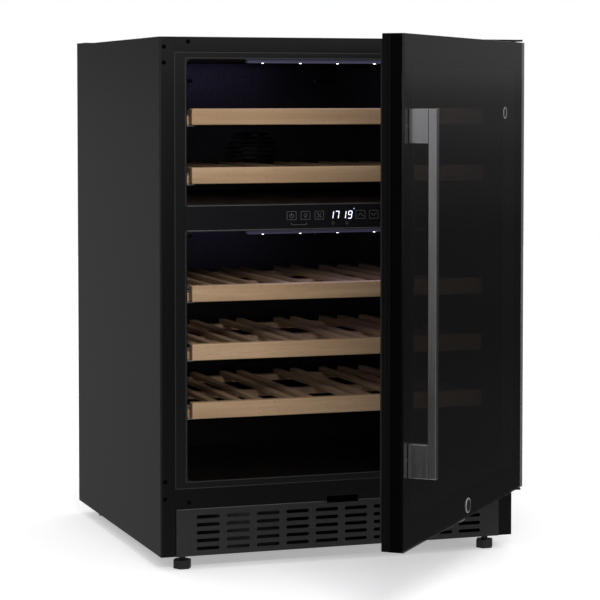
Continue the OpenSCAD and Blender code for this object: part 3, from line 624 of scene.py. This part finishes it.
def foldedSide(name, node, sign):
    # one sheet: front flange, side wall and rear flange, with rounded folds
    low, high = (corner.copy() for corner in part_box(node))
    outer = low.x if sign < 0 else high.x
    clearSelection()
    bpy.ops.mesh.primitive_plane_add(
        size=1, rotation=(0, sign * math.pi / 2, 0),
        location=(outer, (low.y + high.y) / 2, (low.z + high.z) / 2))
    piece = settled(name, (high.z - low.z, high.y - low.y, 1))
    for edgeY, reach in ((low.y, casing["frontFlange"]), (high.y, casing["rearFlange"])):
        chooseEdges(piece, lambda a, b: abs(a.y - edgeY) < 1e-5 and abs(b.y - edgeY) < 1e-5)
        bpy.ops.mesh.extrude_region_move(
            TRANSFORM_OT_translate={"value": (-sign * reach, 0, 0)})
        leaveEdit()
    chooseEdges(piece, lambda a, b: abs(a.x - outer) < 1e-5 and abs(b.x - outer) < 1e-5
                and abs(a.y - b.y) < 1e-5)
    bpy.ops.mesh.bevel(offset=casing["foldRound"], segments=casing["foldSteps"],
                       affect="EDGES")
    leaveEdit()
    wall = piece.modifiers.new("sheet", "SOLIDIFY")
    wall.thickness = casing["sheet"]
    wall.offset = -1
    bpy.ops.object.modifier_apply(modifier=wall.name)
    facesOutward(piece)
    return eased(piece, casing["edge"], 1)


for side, sign in (("left", -1), ("right", 1)):
    finished(foldedSide(side + "Side", side + "_side_panel", sign), "cabinet", "black_steel",
             casingPaint, side + "_side_panel")
for node, name, edge, finish, slot in (
        ("top_panel", "topSheet", 0.0004, casingPaint, "black_steel"),
        ("back_panel", "backSheet", 0.0004, casingPaint, "black_steel"),
        ("base_partition", "lowerBand", 0.0003, casingPaint, "black_steel"),
        ("kick_plate", "kickGrille", 0.0006, kickPlastic, "black_plastic"),
        ("upper_hinge_bracket", "upperHinge", 0.0005, darkMetal, "dark_steel"),
        ("lower_hinge_bracket", "lowerHinge", 0.0005, darkMetal, "dark_steel"),
        ("upper_liner", "upperLiner", 0.0004, linerPlastic, "liner_plastic"),
        ("lower_liner", "lowerLiner", 0.0004, linerPlastic, "liner_plastic"),
        ("duct_covers", "airCovers", 0.0005, linerPlastic, "liner_plastic")):
    finished(softened(node, name, edge), "cabinet", slot, finish, node)

# pressed hoods over the rear louvres, modelled once and copied
louvre = {
    "columns": 8,
    "rows": 7,
    "firstX": -0.200,
    "pitchX": 0.050,
    "firstZ": 0.0772,   # just above the lowest row of slots
    "pitchZ": 0.014,
    "long": 0.036,
    "tall": 0.003,
    "proud": 0.0022,
    "slope": 0.8,       # how far the upper edge leans back, as a share of proud
    "round": 0.0005,
    "sunk": 0.0001,
}
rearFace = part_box("machine_cover")[1].y
hood = block("hood", (louvre["firstX"], rearFace - louvre["sunk"], louvre["firstZ"]),
             (louvre["firstX"] + louvre["long"], rearFace + louvre["proud"],
              louvre["firstZ"] + louvre["tall"]))
hoodTop = louvre["firstZ"] + louvre["tall"] * 0.9
chooseEdges(hood, lambda a, b: min(a.y, b.y) > rearFace and min(a.z, b.z) > hoodTop)
bpy.ops.transform.translate(value=(0, -louvre["proud"] * louvre["slope"], 0))
leaveEdit()
eased(hood, louvre["round"])
hoods = [hood]
for column in range(louvre["columns"]):
    for row in range(louvre["rows"]):
        if column or row:
            hoods.append(copied(hood, "hood", (column * louvre["pitchX"], 0,
                                               row * louvre["pitchZ"])))
finished(joined("louvreHoods", hoods), "cabinet", "dark_steel", innerSteel)

for node in ("foot_front_left", "foot_front_right", "foot_rear_left", "foot_rear_right"):
    finished(softened(node, node.replace("_", ".") + ".hex", 0.0012), node, "black_plastic",
             footPlastic, node)
print("casing built")

# one front rail and one rack of slats, copied down for the five shelves
shelf = {
    "count": 5,
    "frontRound": 0.0018,
    "frontSteps": 3,
    "slatRound": 0.0012,
}
firstLow, firstHigh = (corner.copy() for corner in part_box("shelf_1_front"))
railMaster = eased(block("railMaster", firstLow, firstHigh), shelf["frontRound"],
                   shelf["frontSteps"])
rackMaster = softened("shelf_1_rack", "rackMaster", shelf["slatRound"])
for number in range(1, shelf["count"] + 1):
    drop = Vector((0, 0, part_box(f"shelf_{number}_front")[1].z - firstHigh.z))
    rail = copied(railMaster, f"shelfRail.{number}", drop)
    finished(rail, f"shelf_{number}", "beech", beechAcross, f"shelf_{number}_front")
    rack = copied(rackMaster, f"shelfRack.{number}", drop)
    finished(rack, f"shelf_{number}", "beech", beechDeep, f"shelf_{number}_rack")
for master in (railMaster, rackMaster):
    bpy.data.objects.remove(master, do_unlink=True)
print("shelves built")

# a fine bead round each zone's mouth, in a lighter finish that paints the highlight on the rounded
# rim
opening = {
    "halfWide": 0.254,
    "lowerFloor": 0.139,
    "inset": 0.0016,
    "beadWide": 0.0012,
    "beadProud": 0.0003,
    "seamWide": 0.001,
    "seamOut": 0.0004,
    "seamProud": 0.0003,
    "seamDeep": 0.0002,
    "edge": 0.0002,
}
for zone in ("upper", "lower"):
    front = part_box(zone + "_liner")[0].y
    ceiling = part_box("led_strips")[1].z if zone == "upper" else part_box("touch_glass")[0].z
    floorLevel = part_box("touch_glass")[1].z if zone == "upper" else opening["lowerFloor"]
    wall = opening["halfWide"] + opening["inset"]
    bead = ring(zone + "Bead",
                (-wall - opening["beadWide"], front - opening["beadProud"],
                 floorLevel + (0 if zone == "upper" else -opening["inset"])),
                (wall + opening["beadWide"], front + opening["beadProud"],
                 ceiling + (opening["inset"] if zone == "upper" else 0)),
                opening["beadWide"])
    finished(eased(bead, opening["edge"], 1), "cabinet", "liner_plastic", paintedRimHighlight)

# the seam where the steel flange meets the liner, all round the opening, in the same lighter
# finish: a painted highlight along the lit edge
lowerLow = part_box("lower_liner")[0].copy()
seamHalf = opening["seamOut"] - lowerLow.x
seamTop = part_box("upper_liner")[1].z + opening["seamOut"]
seam = ring("rimSeam", (-seamHalf, -opening["seamProud"], lowerLow.z - opening["seamOut"]),
            (seamHalf, opening["seamDeep"], seamTop), opening["seamWide"])
finished(eased(seam, opening["edge"], 1), "cabinet", "black_steel", paintedRimHighlight)

# the folded ledge along the kick plate's top, either side of the bolt's notch; its pale finish is a
# painted highlight of the lit top edge
ledge = {
    "notchHalf": 0.0295,
    "endInset": 0.0005,
    "proud": 0.0002,
    "deep": 0.0006,
    "above": 0.0001,
    "below": 0.0009,
    "edge": 0.0002,
}
kickLow, kickHigh = (corner.copy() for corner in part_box("kick_plate"))
ledges = []
for way in (-1, 1):
    ends = sorted((way * ledge["notchHalf"], way * (kickHigh.x - ledge["endInset"])))
    strip = block("ledge", (ends[0], kickLow.y - ledge["proud"], kickHigh.z - ledge["below"]),
                  (ends[1], kickLow.y + ledge["deep"], kickHigh.z + ledge["above"]))
    ledges.append(eased(strip, ledge["edge"]))
finished(joined("kickLedge", ledges), "cabinet", "black_plastic", paintedEdgeHighlight)

# domed light dots along each zone's strip
leds = {
    "perStrip": 5,
    "radius": 0.0017,
    "proud": 0.0007,
    "round": 0.0004,
    "inset": 0.025,
    "fromFront": 0.004,
    "upperDown": 0.006,
}
dots = []
for level in (stripHigh.z - leds["upperDown"], stripLow.z):
    for number in range(leds["perStrip"]):
        share = number / (leds["perStrip"] - 1)
        span = stripHigh.x - stripLow.x - 2 * leds["inset"]
        place = (stripLow.x + leds["inset"] + span * share, stripLow.y + leds["fromFront"], level)
        dot = drum("led", place, leds["radius"], leds["proud"] * 2, "Z", 20)
        dots.append(eased(dot, leds["round"]))
finished(joined("ledDots", dots), "cabinet", "light_diffuser", ledGlow)

# the control strip with its raised icons and numbers
panel = {
    "edge": 0.0004,
    "stripTall": 0.0008,
    "stripRound": 0.00025,
    "stripInset": 0.0005,
    "stripProud": 0.0003,
    "stripDeep": 0.001,
    "inkProud": 0.00012,
    "inkDeep": 0.0002,
    "line": 0.0007,
    "thinLine": 0.00056,
    "segment": 0.0013,
    "slant": math.radians(8),
    "squares": [(-0.0907, -0.0757), (-0.0675, -0.0525), (-0.0442, -0.0297),
                (0.0248, 0.0400), (0.0477, 0.0622)],
    "squareLow": 0.5444,
    "squareHigh": 0.5572,
    "bracket": (-0.0833, -0.0583, 0.5364, 0.5395),   # left, right, low, high
    "marks": [(-0.0139, 0.538), (0.0093, 0.538)],
    "markRadius": 0.0021,
    "digitLeft": [-0.0200, -0.0108, 0.0010, 0.0112],
    "digits": "1719",
    "digitWide": 0.0070,
    "digitLow": 0.5446,
    "digitHigh": 0.5572,
    "digitGap": 0.12,   # a short break between neighbouring segments
    "degree": (0.0214, 0.5604),
    "degreeRadius": 0.0003,
    "degreeLine": 0.0006,
}
glassLow, glassHigh = (corner.copy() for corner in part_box("touch_glass"))
touchPlate = eased(block("touchPlate", glassLow, glassHigh), panel["edge"])
finished(touchPlate, "cabinet", "panel_glass", panelGlass, "touch_glass")
# pale strips along the panel's top and foot, painted highlights of the lit glass edges
for name, level in (("panelTopEdge", glassHigh.z - panel["stripTall"]),
                    ("panelFootEdge", glassLow.z)):
    strip = block(name, (glassLow.x + panel["stripInset"], glassLow.y - panel["stripProud"], level),
                  (glassHigh.x - panel["stripInset"], glassLow.y + panel["stripDeep"],
                   level + panel["stripTall"]))
    finished(eased(strip, panel["stripRound"]), "cabinet", "panel_glass", paintedEdgeHighlight)
inkFront = glassLow.y - panel["inkProud"]
inkBack = glassLow.y + panel["inkDeep"]


def stroke(ends, width):
    # a raised line on the panel from one place to the other
    (x0, z0), (x1, z1) = ends
    clearSelection()
    bpy.ops.mesh.primitive_cube_add(
        size=1, location=((x0 + x1) / 2, (inkFront + inkBack) / 2, (z0 + z1) / 2),
        rotation=(0, -math.atan2(z1 - z0, x1 - x0), 0))
    piece = settled("stroke", (math.hypot(x1 - x0, z1 - z0) + width * 0.6,
                               inkBack - inkFront, width))
    chooseFaces(piece, lambda centre, normal: normal.y < -0.9)
    bpy.ops.mesh.inset(thickness=width * 0.12)
    leaveEdit()
    return piece


def loopStrokes(middle, radius, sides, width, start=0.0, share=1.0):
    turns = [start + math.tau * share * i / sides for i in range(sides + 1)]
    points = [(middle[0] + radius * math.sin(t), middle[1] + radius * math.cos(t))
              for t in turns]
    return [stroke(pair, width) for pair in zip(points, points[1:])]


# outline icons, each in its own square
icon = {
    "powerRadius": 0.0032,
    "powerDrop": 0.0003,
    "powerFrom": 0.6,     # where the open ring starts, in radians
    "powerShare": 0.81,   # and how much of a turn it makes
    "powerTall": 0.0038,
    "lampRadius": 0.0026,
    "lampRise": 0.0008,
    "lampFoot": 0.0034,
    "lampFootHalf": 0.0012,
    "changeHalf": 0.0035,
    "changeRing": 0.0013,
    "changeAcross": 0.0022,
    "changeUp": 0.0024,
    "arrowTall": 0.0022,
    "arrowHalf": 0.0044,
}
icons = []
line = panel["line"]
thin = panel["thinLine"]
zLow = panel["squareLow"]
zHigh = panel["squareHigh"]
zMid = (zLow + zHigh) / 2
for number, (x0, x1) in enumerate(panel["squares"]):
    corners = [(x0, zLow), (x1, zLow), (x1, zHigh), (x0, zHigh), (x0, zLow)]
    icons += [stroke(pair, thin) for pair in zip(corners, corners[1:])]
    middle = (x0 + x1) / 2
    if number == 0:   # power
        icons += loopStrokes((middle, zMid - icon["powerDrop"]), icon["powerRadius"], 9, line,
                             icon["powerFrom"], icon["powerShare"])
        icons.append(stroke(((middle, zMid), (middle, zMid + icon["powerTall"])), line))
    elif number == 1:  # lamp
        icons += loopStrokes((middle, zMid + icon["lampRise"]), icon["lampRadius"], 8, line)
        footLevel = zMid - icon["lampFoot"]
        icons.append(stroke(((middle - icon["lampFootHalf"], footLevel),
                             (middle + icon["lampFootHalf"], footLevel)), line))
    elif number == 2:  # zone change
        reach = icon["changeHalf"]
        icons.append(stroke(((middle - reach, zMid - reach), (middle + reach, zMid + reach)),
                            line))
        for way in (-1, 1):
            centre = (middle + way * icon["changeAcross"], zMid - way * icon["changeUp"])
            icons += loopStrokes(centre, icon["changeRing"], 6, line)
    else:              # warmer, colder
        tip = icon["arrowTall"] if number == 3 else -icon["arrowTall"]
        for way in (-1, 1):
            icons.append(stroke(((middle, zMid + tip),
                                 (middle + way * icon["arrowHalf"], zMid - tip)), line))
x0, x1, z0, z1 = panel["bracket"]
corners = [(x0, z1), (x0, z0), (x1, z0), (x1, z1)]
icons += [stroke(pair, thin) for pair in zip(corners, corners[1:])]
for middle in panel["marks"]:
    icons += loopStrokes(middle, panel["markRadius"], 8, line)
finished(joined("panelIcons", icons), "cabinet", "panel_glass", iconInk)

# slanted seven-segment numbers
segmentEnds = {
    "a": ((0, 1), (1, 1)), "b": ((1, 1), (1, 0.5)), "c": ((1, 0.5), (1, 0)),
    "d": ((0, 0), (1, 0)), "e": ((0, 0.5), (0, 0)), "f": ((0, 1), (0, 0.5)),
    "g": ((0, 0.5), (1, 0.5)),
}
litSegments = {
    "0": "abcdef", "1": "bc", "2": "abdeg", "3": "abcdg", "4": "bcfg",
    "5": "acdfg", "6": "acdefg", "7": "abc", "8": "abcdefg", "9": "abcdfg",
}
numbers = []
tall = panel["digitHigh"] - panel["digitLow"]
for left, digit in zip(panel["digitLeft"], panel["digits"]):
    for key in litSegments[digit]:
        ends = []
        for across, up in segmentEnds[key]:
            rise = up * (tall - panel["segment"])
            ends.append((left + across * (panel["digitWide"] - panel["segment"])
                         + math.tan(panel["slant"]) * rise,
                         panel["digitLow"] + panel["segment"] / 2 + rise))
        (xa, za), (xb, zb) = ends
        gap = panel["digitGap"]
        ends = ((xa + (xb - xa) * gap, za + (zb - za) * gap),
                (xb - (xb - xa) * gap, zb - (zb - za) * gap))
        numbers.append(stroke(ends, panel["segment"]))
numbers += loopStrokes(panel["degree"], panel["degreeRadius"], 6, panel["degreeLine"])
finished(joined("panelDigits", numbers), "cabinet", "light_diffuser", digitGlow)
print("control panel built")

# the door, each piece built as if it stood shut
door = {
    "glassEdge": 0.0006,
    "frameEdge": 0.0008,
    "paneEdge": 0.0004,
    "spacerEdge": 0.0003,
    "trimEdge": 0.0012,
    "edgingEdge": 0.0005,
    "rail": 0.045,
    "trimRail": 0.0485,
    "trimGap": 0.0003,
    "spacerWide": 0.009,
    "gasketWide": 0.012,
    "gasketRound": 0.0016,
    "lipProud": 0.0006,
    "lipHalf": 0.0008,
    "lipRail": 0.002,
    "lipEdge": 0.0003,
    "handleEdge": 0.0009,
    "postTall": 0.048,
    "postGap": 0.00005,
}


def doorPiece(piece, slot, finish, *replaced):
    return finished(swung(piece), "door", slot, finish, *replaced)


glassBox, frameBox = shutBox("outer_glass"), shutBox("door_frame")
trimBox, gasketBox = shutBox("door_inner_trim"), shutBox("door_gasket")
paneBox, spacerBox = shutBox("inner_glass"), shutBox("glass_spacer")
barBox, postBox = shutBox("handle_bar"), shutBox("handle_posts")

doorPiece(eased(block("outerGlass", *glassBox), door["glassEdge"], 3), "door_glass",
          doorGlass, "outer_glass")
doorPiece(eased(ring("doorFrame", *frameBox, door["rail"]), door["frameEdge"]),
          "black_plastic", framePlastic, "door_frame")
doorPiece(eased(block("innerPane", *paneBox), door["paneEdge"], 1), "inner_pane", paneGlass,
          "inner_glass")
doorPiece(eased(ring("paneSpacer", *spacerBox, door["spacerWide"]), door["spacerEdge"], 1),
          "dark_steel", darkMetal, "glass_spacer")

# trim: a moulded ring over the pane, and its edging round the pane's rim
trimFront = paneBox[1].y + door["trimGap"]
trim = ring("innerTrim", (trimBox[0].x, trimFront, trimBox[0].z), trimBox[1], door["trimRail"])
doorPiece(eased(trim, door["trimEdge"], 3), "grey_plastic", trimGrey, "door_inner_trim")
edging = ring("trimEdging", trimBox[0], (trimBox[1].x, trimFront, trimBox[1].z),
              paneBox[0].x - trimBox[0].x - door["trimGap"])
doorPiece(eased(edging, door["edgingEdge"], 1), "grey_plastic", trimGrey)

# the seal and its thin lip, the lip in a lighter finish that paints the highlight on the seal's
# ridge
gasket = ring("gasket", *gasketBox, door["gasketWide"])
middleY = (gasketBox[0].y + gasketBox[1].y) / 2
chooseFaces(gasket, lambda centre, normal: abs(normal.y) < 0.1)
bpy.ops.mesh.subdivide(number_cuts=3)
leaveEdit()
doorPiece(eased(gasket, door["gasketRound"], 3), "rubber", softRubber, "door_gasket")
proud = door["lipProud"]
half = door["lipHalf"]
lip = ring("gasketLip", (gasketBox[0].x - proud, middleY - half, gasketBox[0].z - proud),
           (gasketBox[1].x + proud, middleY + half, gasketBox[1].z + proud), door["lipRail"])
doorPiece(eased(lip, door["lipEdge"]), "rubber", paintedGasketHighlight)

bar = eased(block("handleBar", *barBox), door["handleEdge"], 3)
doorPiece(bar, "handle_steel", handleMetal, "handle_bar")
posts = []
for foot in (postBox[0].z, postBox[1].z - door["postTall"]):
    post = block("post", (postBox[0].x, postBox[0].y + door["postGap"], foot),
                 (postBox[1].x, postBox[1].y, foot + door["postTall"]))
    posts.append(eased(post, door["handleEdge"], 3))
doorPiece(joined("handlePosts", posts), "handle_steel", handleMetal, "handle_posts")

for node, name, edge, slot, finish, body in (
        ("lock_barrel", "lockBarrel", 0.0004, "bright_steel", lockMetal, "lock_key"),
        ("lock_bolt", "lockBolt", 0.0004, "bright_steel", brightMetal, "bolt"),
        ("lock_guide", "lockGuide", 0.0005, "grey_plastic", paleGrey, "door"),
        ("hole_cap", "holeCap", 0.0002, "dark_steel", darkMetal, "door")):
    finished(softened(node, name, edge), body, slot, finish, node)

# bright rings round the lock and the small cap
rings = {
    "lockOuter": 0.0114,
    "lockRail": 0.0016,
    "lockProud": 0.0012,
    "lockEdge": 0.0004,
    "capRail": 0.0011,
    "capDeep": 0.0006,
    "capSunk": 0.0002,
    "capEdge": 0.0002,
}
lockBox, capBox = shutBox("lock_barrel"), shutBox("hole_cap")
lockMiddle = (0, glassBox[0].y - rings["lockProud"] / 2, lockBox[0].z - lockBox[0].x)
lockRing = annulus("lockRing", lockMiddle, rings["lockOuter"], rings["lockRail"],
                   rings["lockProud"])
doorPiece(eased(lockRing, rings["lockEdge"], 3), "bright_steel", brightMetal)
capMiddle = (capBox[0] + capBox[1]) / 2
capRing = annulus("capRing", (capMiddle.x, capBox[0].y + rings["capSunk"], capMiddle.z),
                  (capBox[1].x - capBox[0].x) / 2, rings["capRail"], rings["capDeep"])
doorPiece(eased(capRing, rings["capEdge"]), "bright_steel", brightMetal)
print("door built")

# a pale floor, not seen in the gloss and giving off no bounced light
ground = {
    "size": 14.0,
    "tone": (0.93, 0.93, 0.93),
    "glow": 0.36,
}
clearSelection()
bpy.ops.mesh.primitive_plane_add(size=ground["size"], location=(0, 0, 0))
floor = settled("floor")
chooseFaces(floor, lambda centre, normal: True)
bpy.ops.mesh.subdivide(number_cuts=4)
leaveEdit()
floorPaint = mottled("floorPaint", ground["tone"], [c * 1.01 for c in ground["tone"]],
                     1.5, 300.0, (0.75, 0.85), 0.00002, ior=1.2)
floorShader = floorPaint.node_tree.nodes["Principled BSDF"]
floorShader.inputs["Emission Color"].default_value = (1, 1, 1, 1)
floorShader.inputs["Emission Strength"].default_value = ground["glow"]
floor.data.materials.append(floorPaint)
floor.visible_glossy = floor.visible_diffuse = False
